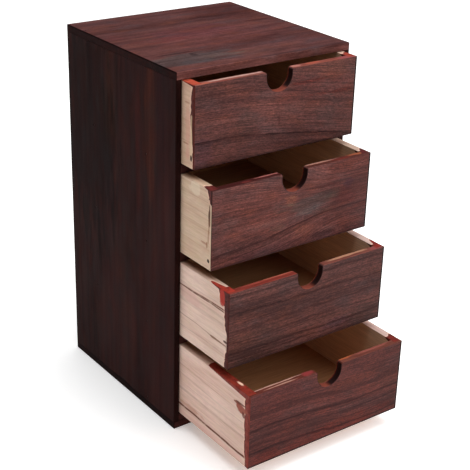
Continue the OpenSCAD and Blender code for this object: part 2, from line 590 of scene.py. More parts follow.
def stained_wood(finish, along, across, depth, seed, colours, tint, lines=(),
                 figure=(0.3, 1.4, 0.46, 0.65)):
    """Stained open-grained wood. Gives its colour, roughness and relief.

    The figure is the flecks' number per millimetre along and across the grain, how much
    lighter and darker than the rest they are, and the share of that for long streaks.
    """
    often, fine_across, rough, long_share = figure
    place = finish.vector(along, across, depth)
    broad = finish.noise(place, (0.012, 0.06, 0.06), seed, 2.0)
    band = finish.noise(place, (0.007, 0.3, 0.3), seed + 1, 3.0, 0.6)
    fleck = finish.noise(place, (often, fine_across, fine_across), seed + 2, 3.0, 0.7)
    streak = finish.noise(place, (0.1 * often, fine_across, fine_across), seed + 5, 2.0)
    pores = finish.noise(place, (0.16, 2.4, 2.4), seed + 3, 1.0)
    haze = finish.noise(place, (0.04, 0.1, 0.1), seed + 4, 2.0)
    grit = finish.noise(place, (0.7, 1.3, 1.3), seed + 6, 2.0, 0.6)

    tone = finish.plus(finish.product(broad, 0.6), finish.product(band, 0.4))
    colour = finish.ramp(tone, [
        (0.2, colours.stain_dark), (0.5, colours.stain_mid), (0.8, colours.stain_light)])
    colour = finish.blend(finish.smooth(haze, 0.5, 0.75, 0.0, 0.5), colour, STAIN_RED)
    colour = finish.blend(finish.smooth(haze, 0.5, 0.28, 0.0, 0.6), colour, STAIN_GREY)
    for grain, share in ((fleck, 0.75), (streak, long_share), (grit, 0.5)):
        fine = finish.smooth(grain, 0.3, 0.7, 1 - share * rough, 1 + share * rough)
        colour = finish.lightened(colour, fine)
    colour = finish.times(1.0, colour, tint)

    thin = finish.math("ABSOLUTE", finish.minus(band, 0.5))
    thread = finish.product(finish.smooth(thin, 0.01, 0.0, 0.0, rough),
                            finish.smooth(haze, 0.35, 0.6))
    pit = finish.smooth(pores, 0.6, 0.7, 0.0, 1.1 * rough)
    colour = finish.times(finish.larger(thread, pit), colour, PORE_TINT)
    if lines:
        uneven = finish.noise(place, (0.05, 0.25, 0.25), seed + 8, 3.0, 0.65)
        waver = finish.plus(finish.smooth(broad, 0.2, 0.8, -1.2, 1.2), finish.ragged(uneven, 0.7))
        broken = finish.smooth(streak, 0.35, 0.6, 0.35, 1.0)
        growth = grain_lines(finish, along, across, lines, waver)
        colour = finish.times(finish.product(growth, broken), colour, GROWTH_TINT)
    relief = finish.minus(finish.product(fleck, 0.35), pit)
    roughness = finish.smooth(fleck, 0.3, 0.7, 0.52, 0.68)
    return colour, roughness, relief


def inner_wood(finish, along, across, depth, seed, tint=WHITE):
    """The drawers' inner faces: smoother and browner than the outside, and darker, which partly paints
    the shade inside the drawers.
    """
    place = finish.vector(along, across, depth)
    broad = finish.noise(place, (0.01, 0.05, 0.05), seed, 2.0)
    fibre = finish.noise(place, (0.05, 1.6, 1.6), seed + 1, 3.0, 0.6)
    # browner wood, darkened partly as painted shade of the drawers' insides
    colour = finish.blend(finish.smooth(broad, 0.3, 0.7), INNER_DARK, INNER_LIGHT)
    fine = finish.smooth(fibre, 0.3, 0.7, 0.86, 1.12)
    return finish.times(1.0, finish.lightened(colour, fine), tint)


def raw_wood(finish, along, across, depth, seed, colours, lines=(), tint=WHITE):
    """Raw sanded wood with its growth lines. Gives its colour, roughness and relief."""
    place = finish.vector(along, across, depth)
    broad = finish.noise(place, (0.02, 0.08, 0.08), seed, 3.0)
    streak = finish.noise(place, (0.012, 0.4, 0.4), seed + 1, 3.0, 0.6)
    mottle = finish.noise(place, (0.14, 0.22, 0.22), seed + 6, 3.0, 0.6)
    fibre = finish.noise(place, (0.09, 1.8, 1.8), seed + 2, 3.0, 0.6)
    tone = finish.plus(finish.product(broad, 0.5), finish.product(streak, 0.5))
    colour = finish.ramp(tone, [
        (0.28, colours.raw_dark), (0.5, RAW_MID), (0.7, colours.raw_light)])
    colour = finish.blend(finish.smooth(mottle, 0.5, 0.7, 0.0, 0.35), colour, RAW_PINK)
    colour = finish.blend(finish.smooth(mottle, 0.5, 0.3, 0.0, 0.35), colour, RAW_YELLOW)
    colour = finish.times(1.0, colour, tint)
    colour = finish.lightened(colour, finish.smooth(fibre, 0.3, 0.7, 0.9, 1.07))
    if lines:
        waver = finish.smooth(broad, 0.2, 0.8, -0.8, 0.8)
        broken = finish.smooth(mottle, 0.3, 0.5, 0.6, 1.0)
        dark = grain_lines(finish, along, across, lines, waver)
        colour = finish.blend(finish.product(dark, broken), colour, RAW_LINE)
    roughness = finish.smooth(fibre, 0.3, 0.7, 0.62, 0.78)
    return colour, roughness, fibre


# ---- Cabinet -------------------------------------------------------------------------

# Each outer board: its grain's axis, how it stands, its seed, its tint and its figure
CABINET_BOARDS = {
    "top_board": (0, "flat", 3, (0.82, 0.79, 0.84), (0.12, 0.8, 0.28, 0.45)),
    "bottom_board": (0, "flat", 9, (0.5, 0.42, 0.42), (0.06, 0.6, 0.3, 0.5)),
    "left_side": (2, "side", 15, (0.26, 0.2, 0.2), (0.04, 0.22, 0.2, 0.5)),
    "right_side": (2, "side", 22, (0.4, 0.33, 0.33), (0.06, 0.5, 0.3, 0.5)),
    "back_panel": (2, "back", 27, (0.4, 0.33, 0.33), (0.06, 0.5, 0.3, 0.5)),
}
# Greyer, redder and darker places on the top board, the greyer one at the front left a painted
# sheen: (x, y, reach, reach, tint, strength) in mm from its front left corner
TOP_PATCHES = (
    (24, 21, 34, 11, (0.9, 1.6, 1.65), 0.85), (60, 75, 30, 14, (1.08, 1.0, 1.12), 0.8),
    (100, 22, 26, 9, (1.05, 1.1, 1.15), 0.7), (30, 66, 20, 7, (1.15, 0.95, 0.9), 0.7),
    (31, 28, 2.2, 3, (0.5, 0.48, 0.5), 0.8), (24, 34.5, 15, 1.1, (0.5, 0.45, 0.45), 0.7),
    (70, 13, 14, 6, (1.05, 1.15, 1.12), 0.7), (75, 58, 45, 22, (1.1, 0.98, 1.0), 0.8),
    (97, 41, 13, 1.3, (0.7, 0.55, 0.55), 0.7), (85, 37, 16, 1.0, (0.7, 0.55, 0.55), 0.6),
    (113, 62, 15, 1.5, (0.75, 0.65, 0.65), 0.7), (120, 79, 10, 1.6, (0.7, 0.55, 0.55), 0.7),
    (112, 110, 30, 20, (0.76, 0.68, 0.68), 0.9), (22, 116, 24, 12, (0.95, 1.0, 1.02), 0.8),
    (40, 43, 14, 1.4, (1.25, 1.2, 1.15), 0.6), (22, 100, 6, 4, (1.1, 1.05, 0.85), 0.6),
    (9, 85, 8, 6, (1.12, 0.9, 0.92), 0.6),
)
# The same on the sides and the back, from the chest's lower front corner: (y, z, ...)
SIDE_PATCHES = (
    (29, 205, 7, 50, (1.6, 1.4, 1.05), 0.8), (44, 190, 3, 45, (1.45, 0.95, 0.9), 0.8),
    (16, 215, 8, 45, (0.8, 0.82, 1.0), 0.7), (58, 220, 6, 35, (0.85, 0.85, 0.9), 0.7),
    (106, 190, 34, 80, (0.47, 0.55, 0.58), 0.9), (14, 110, 8, 90, (1.1, 0.95, 1.0), 0.6),
    (62, 90, 6, 60, (1.0, 1.12, 1.0), 0.6), (112, 60, 26, 70, (0.86, 0.9, 0.88), 0.8),
    (36, 60, 5, 60, (1.15, 1.0, 0.95), 0.6), (75, 160, 3, 60, (0.8, 0.85, 0.85), 0.6),
    (68, 5.2, 9, 0.9, (0.2, 0.2, 0.2), 0.9), (79, 215, 8, 34, (1.35, 1.25, 0.8), 0.8),
)
# Tint of the top board's front edge, painted shadow of the drawers on the sides' front edges,
# and tint of the flat boards' ends with painted shade on the chest's rounded upper rim
TOP_FRONT_TINT, SIDE_FRONT_SHADOW = (1.75, 1.7, 1.55), (0.6, 0.62, 0.6)
END_TINT, END_RIM_SHADE = (0.21, 0.15, 0.14), (0.5, 0.45, 0.45)


def end_grain(finish, colour, x, z, width, height):
    """Darkens a flat board's two ends, most of all along the chest's upper rim, where it paints the
    shade of the rounded edge.
    """
    ends = finish.larger(finish.smooth(x, 0.8, 0.3), finish.smooth(x, width - 0.8, width - 0.3))
    rim = finish.smooth(z, height - 1.3, height - 0.7)
    colour = finish.times(ends, colour, END_TINT)
    # painted shade on the rounded upper rim of the ends
    return finish.times(finish.product(ends, rim), colour, END_RIM_SHADE)


def board_finish(node, board, seed, tint, figure, colours):
    """Stained wood over a whole board, with its patches, front edge and ends, and painted shadow of
    the drawers on the sides' front edges.
    """
    finish = Finish("stained " + node.replace("_", " "))
    low, high = chest_box()
    x, y, z = finish.position(low)
    along, across, depth = along_grain((x, y, z), board)
    colour, roughness, relief = stained_wood(
        finish, along, across, depth, seed, colours, tint, (), figure)
    wander = finish.noise(finish.vector(along, across, depth), (0.03, 0.2, 0.2), seed + 7, 3.0)
    ragged = finish.ragged(wander, 0.35)
    if node == "top_board":
        front = finish.times(1.0, colour, TOP_FRONT_TINT)
        colour = finish.patches(colour, x, y, TOP_PATCHES, ragged)
        colour = finish.blend(finish.smooth(y, 0.5, 0.2), colour, front)
    if board == "flat":
        width, height = (high.x - low.x) / MM, (high.z - low.z) / MM
        colour = end_grain(finish, colour, x, z, width, height)
    else:
        colour = finish.patches(colour, y, z, SIDE_PATCHES, ragged)
        # painted shadow of the drawers on the side panels' front edges
        colour = finish.times(finish.smooth(y, 1.2, 0.4), colour, SIDE_FRONT_SHADOW)
    return finish.shade(colour, roughness, relief, depth=0.06, specular=0.02)


class CHEST_OT_cabinet(bpy.types.Operator):
    """Builds the cabinet's top, bottom, sides and back"""

    bl_idname = "chest.cabinet"
    bl_label = "Build the cabinet"

    def execute(self, context):
        sizes, colours = context.scene.chest_sizes, context.scene.chest_colours
        for node, (axis, stand, seed, tint, figure) in CABINET_BOARDS.items():
            board = plain_board(node, chest_box(), sizes, axis, "cabinet_brads")
            material = board_finish(node, stand, seed, tint, figure, colours)
            dress(board, node, "cabinet", material)
        return {"FINISHED"}


# Tint and figure of the shelves' stained wood
SHELF_TINT, SHELF_FIGURE = (0.5, 0.42, 0.4), (0.06, 0.6, 0.3, 0.5)


class CHEST_OT_shelves(bpy.types.Operator):
    """Builds the shelf under each drawer"""

    bl_idname = "chest.shelves"
    bl_label = "Build the shelves"

    def execute(self, context):
        sizes, colours = context.scene.chest_sizes, context.scene.chest_colours
        for n in SHELVES:
            node = f"shelf_{n}"
            board = plain_board(node, chest_box(), sizes, 0, "cabinet_brads")
            material = board_finish(
                node, "flat", seed_of("shelf", n), SHELF_TINT, SHELF_FIGURE, colours)
            dress(board, node, "cabinet", material)
        return {"FINISHED"}


# ---- Drawer fronts -------------------------------------------------------------------

# How each front's grain sweeps down from left to right: (place, drop) in mm
SWEEP = {
    1: ((0, 0), (40, 2), (60, 4.5), (95, 10), (127, 15.5)),
    2: ((0, 0), (40, 3.5), (66, 8.5), (100, 18), (127, 19)),
    3: ((0, 0), (50, 0.5), (90, 0), (127, 1)),
    4: ((0, 0), (40, 1), (60, 3), (85, 5.5), (127, 5.5)),
}
# The width and the drop that those sweeps are drawn over
SWEEP_WIDTH, SWEEP_DROP = 127, 20
# Front 2's grain closes to a point at this height; its lines part to the left of it
POINT_Z, POINT_REACH = 30.0, 15.0

# Strong growth lines of each front: (height at the left edge, half width, strength, slope)
FRONT_LINES = {
    1: ((17, 0.9, 1.0, 0), (15.5, 2.2, 0.3, 0), (45, 0.8, 0.3, 0), (51, 0.8, 0.35, 0),
        (39, 0.8, 0.3, 0), (26, 0.7, 0.2, 0)),
    2: ((8, 1.2, 0.9, 0), (7, 2.4, 0.3, 0), (50, 1.0, 0.25, 0), (56, 0.9, 0.4, 0),
        (62, 0.8, 0.45, 0), (4, 0.8, 0.35, 0)),
    3: ((50, 1.3, 0.7, 0), (37, 1.0, 0.9, 0), (37, 2.4, 0.3, 0), (26, 0.9, 0.55, 0),
        (19, 0.9, 0.5, 0), (10, 1.1, 0.8, 0), (6, 0.9, 0.6, 0), (2.5, 0.7, 0.5, 0),
        (44, 0.7, 0.25, 0)),
    4: ((38, 1.8, 0.6, 0), (36.5, 1.0, 0.5, 0), (27.5, 1.5, 0.9, 0), (20, 1.3, 0.75, 0),
        (15, 1.0, 0.5, 0), (9.5, 1.3, 0.9, 0), (33, 0.8, 0.3, 0), (5, 0.7, 0.3, 0)),
}
# Patches of each face that took the stain otherwise: (x, z, reach, reach, tint, strength)
FRONT_PATCHES = {
    1: ((25, 40, 26, 9, (1.1, 1.07, 1.07), 0.8), (40, 24, 8, 7, (0.8, 0.92, 0.92), 0.7),
        (95, 38, 30, 8, (1.08, 0.92, 0.9), 0.8), (110, 24, 22, 13, (0.89, 0.84, 0.8), 0.8),
        (6, 11, 8, 9, (0.82, 0.85, 1.1), 0.7), (72, 12, 16, 6, (0.78, 0.76, 0.76), 0.7),
        (62, 15, 3.5, 1.5, (1.4, 1.4, 1.45), 0.8), (110, 47, 14, 5, (1.1, 1.1, 0.95), 0.7),
        (64.5, 22, 0.7, 4, (0.6, 0.42, 0.42), 0.55), (85, 42.5, 12, 1, (0.9, 0.55, 0.5), 0.8),
        (108, 32.5, 18, 1.1, (0.85, 0.55, 0.5), 0.8), (52, 27, 9, 11, (1.14, 1.14, 1.16), 0.7)),
    2: ((33, 30, 30, 14, (1.16, 1.05, 0.98), 0.9), (78, 28, 20, 7, (0.92, 1.4, 1.45), 0.95),
        (96, 30, 9, 1.6, (0.92, 1.3, 1.35), 0.8), (62, 33, 5, 4, (1.5, 1.4, 1.1), 0.9),
        (52, 17, 6, 3, (0.8, 1.12, 1.2), 0.8), (70, 12, 6, 4, (1.25, 1.18, 1.0), 0.7),
        (105, 27, 9, 5, (1.05, 0.8, 0.8), 0.7),
        (110, 36, 4, 3, (0.7, 0.7, 1.0), 0.8), (112, 27, 24, 36, (0.72, 0.58, 0.56), 0.85),
        (42, 47, 16, 2.5, (1.05, 1.2, 1.25), 0.7), (64, 3, 60, 3.4, (0.75, 0.75, 0.85), 0.8),
        (85, 38, 14, 1, (0.75, 0.6, 0.6), 0.7), (46, 22, 14, 2.4, (1.15, 1.25, 1.25), 0.6)),
    3: ((14, 9, 28, 13, (0.74, 0.78, 0.75), 0.9), (15, 33, 11, 6, (1.12, 1.0, 0.88), 0.7),
        (104, 32, 30, 22, (0.88, 0.88, 0.9), 0.8), (58, 26, 9, 3, (1.2, 1.2, 1.2), 0.7),
        (88, 8, 10, 4, (0.88, 0.9, 1.15), 0.6), (115, 10, 13, 6, (0.85, 0.97, 0.93), 0.7)),
    4: ((64, 2.5, 75, 6, (1.45, 1.0, 0.88), 0.85), (60, 22, 5, 2, (1.4, 1.2, 1.1), 0.8),
        (20, 47, 30, 8, (0.9, 0.92, 1.02), 0.7), (105, 41, 18, 8, (1.06, 1.1, 1.1), 0.7),
        (118, 30, 10, 13, (0.98, 1.12, 1.12), 0.6), (36, 32, 17, 1.6, (1.2, 1.15, 1.15), 0.7),
        (95, 27, 10, 2, (1.25, 1.1, 1.0), 0.7), (110, 20, 24, 24, (0.9, 0.9, 0.9), 0.8),
        (17, 24, 20, 26, (0.9, 0.86, 0.86), 0.8)),
}
# The stained top edge of each front, to the left and to the right of the notch
TOP_EDGE = {
    1: (paint(130, 77, 67), paint(130, 69, 58)),
    2: (paint(68, 26, 24), paint(86, 42, 35)),
    3: (paint(128, 53, 43), paint(119, 67, 57)),
    4: (paint(98, 46, 37), paint(111, 62, 51)),
}
# Between these places, within the notch, the left colour gives way to the right one
TOP_TURN = (58, 68)
# Marks on those edges, seen from above: (x, y, reach, reach, colour, strength)
TOP_MARKS = {
    1: ((30, 3.2, 21, 1.2, paint(196, 158, 146), 0.65), (22, 0.6, 10, 0.5, paint(125, 40, 35), 0.5),
        (78, 2.6, 5, 1.8, paint(182, 124, 112), 0.58), (92, 3.0, 6, 1.5, paint(176, 84, 62), 0.5),
        (8, 1.6, 4, 1.8, paint(170, 88, 66), 0.58), (120, 2, 7, 2.5, paint(140, 68, 76), 0.5)),
    2: ((43, 3.6, 9, 0.8, paint(186, 112, 104), 0.65), (26, 2.0, 4, 1.0, paint(122, 50, 46), 0.5),
        (84, 3.8, 12, 1.1, paint(190, 140, 122), 0.65), (104, 1.8, 8, 1.0, paint(112, 36, 30), 0.58),
        (116, 3.6, 7, 1.6, paint(176, 98, 64), 0.58), (68, 4, 4, 1.2, paint(140, 70, 56), 0.43)),
    3: ((39, 4.3, 14, 0.7, paint(188, 104, 82), 0.58), (20, 3.4, 8, 0.8, paint(160, 76, 62), 0.43),
        (96, 3.6, 18, 1.2, paint(190, 142, 112), 0.65), (120, 2, 5, 2, paint(150, 70, 74), 0.5),
        (34, 1.6, 10, 0.8, paint(110, 36, 30), 0.43)),
    4: ((22, 3.9, 20, 0.6, paint(196, 156, 138), 0.68), (25, 1.5, 12, 0.6, paint(190, 146, 128), 0.65),
        (47, 2.6, 4, 2.2, paint(150, 54, 58), 0.58), (80, 4.2, 6, 1.3, paint(184, 94, 52), 0.65),
        (104, 3.6, 16, 0.9, paint(166, 92, 82), 0.5), (98, 1.2, 12, 0.8, paint(98, 44, 40), 0.43)),
}
# The end of each front, beside the raw side board: its stain, and how far back it goes
FRONT_END = {1: (paint(84, 27, 18), 2), 2: (paint(58, 19, 16), 0.3),
             3: (paint(76, 26, 19), 2), 4: (paint(126, 50, 40), 2)}
# How far to the right of its middle the bottom of each notch is lit, in mm
NOTCH_LIT = {1: 6.0, 2: 3.0, 3: 3.0, 4: 0.5}
# Tint of each front's stain
FRONT_TINT = {1: (0.88, 0.78, 0.74), 2: (1.08, 0.94, 0.9), 3: (0.79, 0.72, 0.68),
              4: (0.82, 0.55, 0.5)}
# The right and lower rims of each face, darkened with painted shade and, on the right, with the end
# grain's darker stain, and how strong the lower one is
RIM_STAIN_AND_SHADE, LOWER_RIM_SHADE = (0.09, 0.05, 0.07), {1: 0.4, 2: 0.4, 3: 0.4, 4: 0.95}
# The bare wood of a front's end, and how high it reaches
END_BARE, END_BARE_TOP = paint(206, 178, 152), 44
# The notch's wall: painted shade near the face, its colour farther back, and painted light where its
# bottom is lit
NOTCH_SHADE, NOTCH_BACK, NOTCH_PAINTED_LIGHT = paint(27, 8, 7), paint(112, 44, 29), paint(114, 54, 42)
# The share of the chest's edge rounding that the fronts' edges have
FRONT_ROUND = 0.7


def notch_outline(sizes, n):
    """The notch's middle, its radius, and the height of its half round's centre."""
    low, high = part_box(f"drawer_{n}_front")
    radius = sizes.notch_width / 2
    return (low.x + high.x) / 2, radius, high.z - sizes.notch_depth + radius


def notch_cutter(sizes, n):
    """A round bar with its upper half drawn up past the front's top edge."""
    low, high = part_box(f"drawer_{n}_front")
    middle, radius, centre = notch_outline(sizes, n)
    clear_selection()
    bpy.ops.mesh.primitive_cylinder_add(
        vertices=NOTCH_SIDES, radius=radius, depth=high.y - low.y + 2 * PAST,
        location=(middle, (low.y + high.y) / 2, centre), rotation=(math.pi / 2, 0, 0))
    cutter = bpy.context.object
    bpy.ops.object.transform_apply(location=True, rotation=True, scale=True)
    for vert in cutter.data.vertices:
        if vert.co.z > centre + SAME:
            vert.co.z = high.z + PAST
            vert.co.x = middle + (1 if vert.co.x > middle else -1) * radius
    return cutter


def shoulder_cutters(sizes, n):
    """Blocks with one edge rounded inwards, that round the notch's two shoulders."""
    low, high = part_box(f"drawer_{n}_front")
    middle, radius, _ = notch_outline(sizes, n)
    turn = sizes.shoulder
    cutters = []
    for side in (-1, 1):
        inner, outer = middle + side * (radius - PAST), middle + side * (radius + turn)
        start = Vector((min(inner, outer), low.y - PAST, high.z - turn))
        end = Vector((max(inner, outer), high.y + PAST, high.z + PAST))
        block = new_block("shoulder", start, end)
        clear_selection()
        bpy.ops.mesh.primitive_cylinder_add(
            vertices=SHOULDER_SIDES, radius=turn, depth=high.y - low.y + 6 * PAST,
            location=(outer, (low.y + high.y) / 2, high.z - turn), rotation=(math.pi / 2, 0, 0))
        carve(block, [bpy.context.object])
        cutters.append(block)
    return cutters


def rabbet_cutters(sizes, n):
    """Blocks for the rabbets behind the front's lip, where the side boards' ends go."""
    low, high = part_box(f"drawer_{n}_front")
    wall_low, wall_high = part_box(f"drawer_{n}_left_side")
    wall = wall_high.x - wall_low.x
    cutters = []
    for start, end in ((low.x - PAST, low.x + wall), (high.x - wall, high.x + PAST)):
        cutters.append(new_block(
            "rabbet", Vector((start, low.y + sizes.lip, low.z - PAST)),
            Vector((end, high.y + PAST, high.z + PAST))))
    return cutters


def drawer_front(n, sizes):
    """One front: notch cut, all outer edges rounded in one run, ends rabbeted."""
    node = f"drawer_{n}_front"
    low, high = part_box(node)
    front = new_block("wood_" + node, low, high)
    carve(front, [notch_cutter(sizes, n)])
    for cutter in shoulder_cutters(sizes, n):
        carve(front, [cutter])
    round_edges(front, FRONT_ROUND * sizes.edge_round, is_sharp)
    slice_across(front, 0, SLICE)
    sand_by_hand(front, sizes.sanding)
    carve(front, rabbet_cutters(sizes, n))
    carve(front, brad_holes(low, high, f"drawer_{n}_brads"))
    return front


def front_grain(finish, n, x, z):
    """The place across the grain of front n, which its growth lines follow."""
    drop = finish.curve(x, SWEEP[n], SWEEP_WIDTH, SWEEP_DROP, "AUTO")
    if n == 2:
        side = finish.math("DIVIDE", finish.minus(z, POINT_Z), POINT_REACH)
        side = finish.smaller(finish.larger(side, -1.0), 1.0)
        drop = finish.product(drop, side)
    return finish.plus(z, drop)


def front_face(finish, n, place, width, wander, colours):
    """The stained face with its patches and its right and lower rims darkened, with painted shade and
    the end grain's darker stain: its colour, roughness and relief.
    """
    x, y, z = place
    across = front_grain(finish, n, x, z)
    colour, roughness, relief = stained_wood(
        finish, x, across, y, seed_of("front", n), colours, FRONT_TINT[n], FRONT_LINES[n])
    colour = finish.patches(colour, x, z, FRONT_PATCHES[n], finish.ragged(wander, 0.45))
    # painted shade on the rounded right and lower rims, and the end grain's darker stain on the right
    stained_and_shaded_rims = finish.larger(finish.smooth(x, width - 1.7, width - 1.1),
                         finish.smooth(z, 1.7, 1.0, 0.0, LOWER_RIM_SHADE[n]))
    stained_and_shaded_rims = finish.product(stained_and_shaded_rims, finish.smooth(y, 1.2, 0.7))
    return finish.times(stained_and_shaded_rims, colour, RIM_STAIN_AND_SHADE), roughness, relief


def front_end(finish, n, y, z, wander):
    """The mottled stain on the end beside the raw side board, bare farther back."""
    end_paint, end_reach = FRONT_END[n]
    stain = finish.times(finish.smooth(wander, 0.35, 0.65), end_paint, (0.55, 0.5, 0.5))
    bare = finish.product(finish.smooth(y, end_reach, end_reach + 0.3),
                          finish.smooth(z, END_BARE_TOP + 0.5, END_BARE_TOP - 1))
    return finish.blend(bare, stain, END_BARE)


def front_top(finish, n, x, y, patch, ragged):
    """The stained top edge, left and right of the notch, with its marks."""
    left, right = TOP_EDGE[n]
    edge = finish.blend(finish.smooth(x, *TOP_TURN), left, right)
    edge = finish.times(finish.smooth(patch, 0.35, 0.65, 0.0, 0.7), edge, (0.5, 0.38, 0.36))
    return finish.patches(edge, x, y, TOP_MARKS[n], finish.ragged(ragged, 0.3), "MIX", 0.35)


def notch_wall(finish, n, place, middle, bottom, patch):
    """The notch's wall: painted shade near the face, and painted light at the right of its bottom."""
    x, y, z = place
    # painted shade on the notch's wall near the face
    wall = finish.blend(finish.smooth(y, 3.6, 4.6), NOTCH_SHADE, NOTCH_BACK)
    lit_end = middle + NOTCH_LIT[n]
    # painted light on the right of the notch's bottom
    lit = finish.product(finish.smooth(z, bottom + 2.8, bottom + 0.8),
                         finish.smooth(x, lit_end + 2.5, lit_end - 1.5))
    wall = finish.blend(lit, wall, NOTCH_PAINTED_LIGHT)
    bright = finish.times(1.0, wall, (1.6, 1.6, 1.5))
    return finish.blend(finish.smooth(patch, 0.5, 0.7, 0.0, 0.4), wall, bright)


def near_notch(finish, x, z, middle, centre, radius):
    """How much a place belongs to the notch's wall."""
    off_x = finish.minus(x, middle)
    off_z = finish.smaller(finish.minus(z, centre), 0.0)
    away = finish.math("SQRT", finish.plus(
        finish.product(off_x, off_x), finish.product(off_z, off_z)))
    return finish.smooth(away, radius + 0.6, radius + 0.35)


def front_finish(n, sizes, colours):
    """Stained face, bright stained top edge, notch with painted shade and light, raw wood behind."""
    finish = Finish(f"stained drawer front {n}")
    low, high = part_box(f"drawer_{n}_front")
    x, y, z = finish.position(low)
    width, height = (high.x - low.x) / MM, (high.z - low.z) / MM
    along_face, place = finish.vector(x, z, y), finish.vector(x, y, z)
    wander = finish.noise(along_face, (0.06, 0.25, 0.25), seed_of("front wander", n), 3.0, 0.6)
    ragged = finish.noise(place, (0.12, 0.5, 0.5), seed_of("front ragged", n), 3.0, 0.6)
    patch = finish.noise(place, (0.08, 1.1, 0.8), seed_of("front patch", n), 3.0, 0.6)

    colour, roughness, relief = front_face(finish, n, (x, y, z), width, wander, colours)
    colour = finish.blend(finish.smooth(x, 0.45, 0.2), colour,
                          front_end(finish, n, y, z, wander))
    on_top = finish.smooth(finish.plus(z, finish.ragged(ragged, 0.12)),
                           height - 0.4, height - 0.15)
    colour = finish.blend(on_top, colour, front_top(finish, n, x, y, patch, ragged))

    middle, radius, centre = notch_outline(sizes, n)
    middle, radius, centre = (middle - low.x) / MM, radius / MM, (centre - low.z) / MM
    in_notch = near_notch(finish, x, z, middle, centre, radius)
    wall = notch_wall(finish, n, (x, y, z), middle, centre - radius, patch)
    not_top = finish.minus(1.0, on_top)
    colour = finish.blend(finish.product(in_notch, not_top), colour, wall)

    raw, _, _ = raw_wood(finish, x, z, y, seed_of("front behind", n), colours)
    run = finish.smooth(finish.plus(z, finish.smooth(patch, 0.2, 0.8, -3, 3)),
                        height - 5, height - 3, 0.0, 0.85)
    raw = finish.blend(run, raw, colours.bleed)
    behind = finish.smooth(finish.plus(y, finish.ragged(ragged, 0.3)), 4.5, 4.9)
    stained = finish.larger(on_top, finish.product(in_notch, 0.85))
    unstained = finish.minus(1.0, stained)
    colour = finish.blend(finish.product(behind, unstained), colour, raw)
    return finish.shade(colour, roughness, relief, depth=0.06, specular=0.1)


class CHEST_OT_drawer_fronts(bpy.types.Operator):
    """Builds the four drawer fronts with their finger notches"""

    bl_idname = "chest.drawer_fronts"
    bl_label = "Build the drawer fronts"

    def execute(self, context):
        sizes, colours = context.scene.chest_sizes, context.scene.chest_colours
        for n in DRAWERS:
            front = drawer_front(n, sizes)
            dress(front, f"drawer_{n}_front", f"drawer_{n}",
                  front_finish(n, sizes, colours))
        return {"FINISHED"}


# ---- Drawer sides, backs and floors --------------------------------------------------

# How far behind the face the stain ran in: (height over the lower edge, reach) in mm.
# The last point is the reach on the board's top edge.
RUN = {
    (1, "left"): ((0, 1.1), (10, 1.7), (20, 2.8), (30, 4.4), (40, 4.4), (47, 3.5), (52, 2.8),
                  (52.9, 13), (53.3, 16)),
    (2, "left"): ((0, 0.4), (30, 0.5), (43, 0.4), (44.5, 2), (50, 4.4), (52.4, 5), (53.3, 10)),
    (3, "left"): ((0, 3.6), (8, 3), (14, 1.2), (19, 0.3), (24, 2.5), (30, 4.3), (43, 4.6),
                  (44.5, 8.6), (52, 11), (53.3, 22)),
    (4, "left"): ((0, 3.8), (5, 3.9), (40, 5.3), (49.6, 5.5), (53.3, 47)),
    (1, "right"): ((0, 1), (15, 3), (30, 2), (45, 4), (51, 6), (53.3, 12.5)),
    (2, "right"): ((0, 3), (12, 2), (26, 4), (40, 3), (50, 6), (53.3, 10)),
    (3, "right"): ((0, 2), (18, 4), (33, 2), (46, 5), (52, 9), (53.3, 14)),
    (4, "right"): ((0, 4), (14, 3), (29, 5), (44, 4), (51, 7), (53.3, 12)),
}
# The longest run that those reaches are drawn over, in mm
RUN_MOST = 50
# How much less far the stain ran on the inner half of the top edge, in mm
TOP_TAPER = {
    (1, "left"): 2, (2, "left"): 1, (3, "left"): 13, (4, "left"): 0,
    (1, "right"): 3, (2, "right"): 4, (3, "right"): 7, (4, "right"): 2,
}
# Colour of the run stain on the side and on the top edge
RUN_PAINT = {
    1: (paint(84, 26, 17), paint(168, 66, 42)), 2: (paint(88, 26, 22), paint(96, 26, 22)),
    3: (paint(84, 22, 14), paint(150, 44, 30)), 4: (paint(130, 50, 38), paint(128, 38, 22)),
}
# The run stain's tint on the right boards, and in its darker places
RIGHT_RUN_TINT, RUN_MOTTLE = (0.75, 0.62, 0.7), (0.62, 0.5, 0.45)
# Tint of each drawer's raw wood
RAW_TINT = {1: (0.86, 0.8, 0.77), 2: (0.83, 0.83, 0.8), 3: (0.93, 0.94, 1.03),
            4: (0.93, 0.92, 1.02)}
# Growth lines of the side boards: (height, half width, strength, slope)
SIDE_LINES = {
    1: ((30, 0.6, 0.2, 0), (17, 0.7, 0.2, 0)),
    2: ((44, 0.6, 0.15, 0), (36, 0.7, 0.2, 0), (27, 0.6, 0.15, 0)),
    3: ((40.1, 0.8, 0.9, -0.035), (38.6, 0.7, 0.9, -0.012), (34, 1.4, 0.22, 0),
        (29, 2.0, 0.15, 0), (9, 1.0, 0.2, 0), (16, 0.7, 0.4, 0.03), (42.5, 0.6, 0.15, -0.02)),
    4: ((6.9, 1.2, 1.0, 0.012), (20.5, 1.6, 0.28, 0.01), (31, 0.8, 0.15, 0.015),
        (38, 0.9, 0.15, 0.01), (11, 0.8, 0.1, 0.02), (26, 0.6, 0.15, 0)),
}
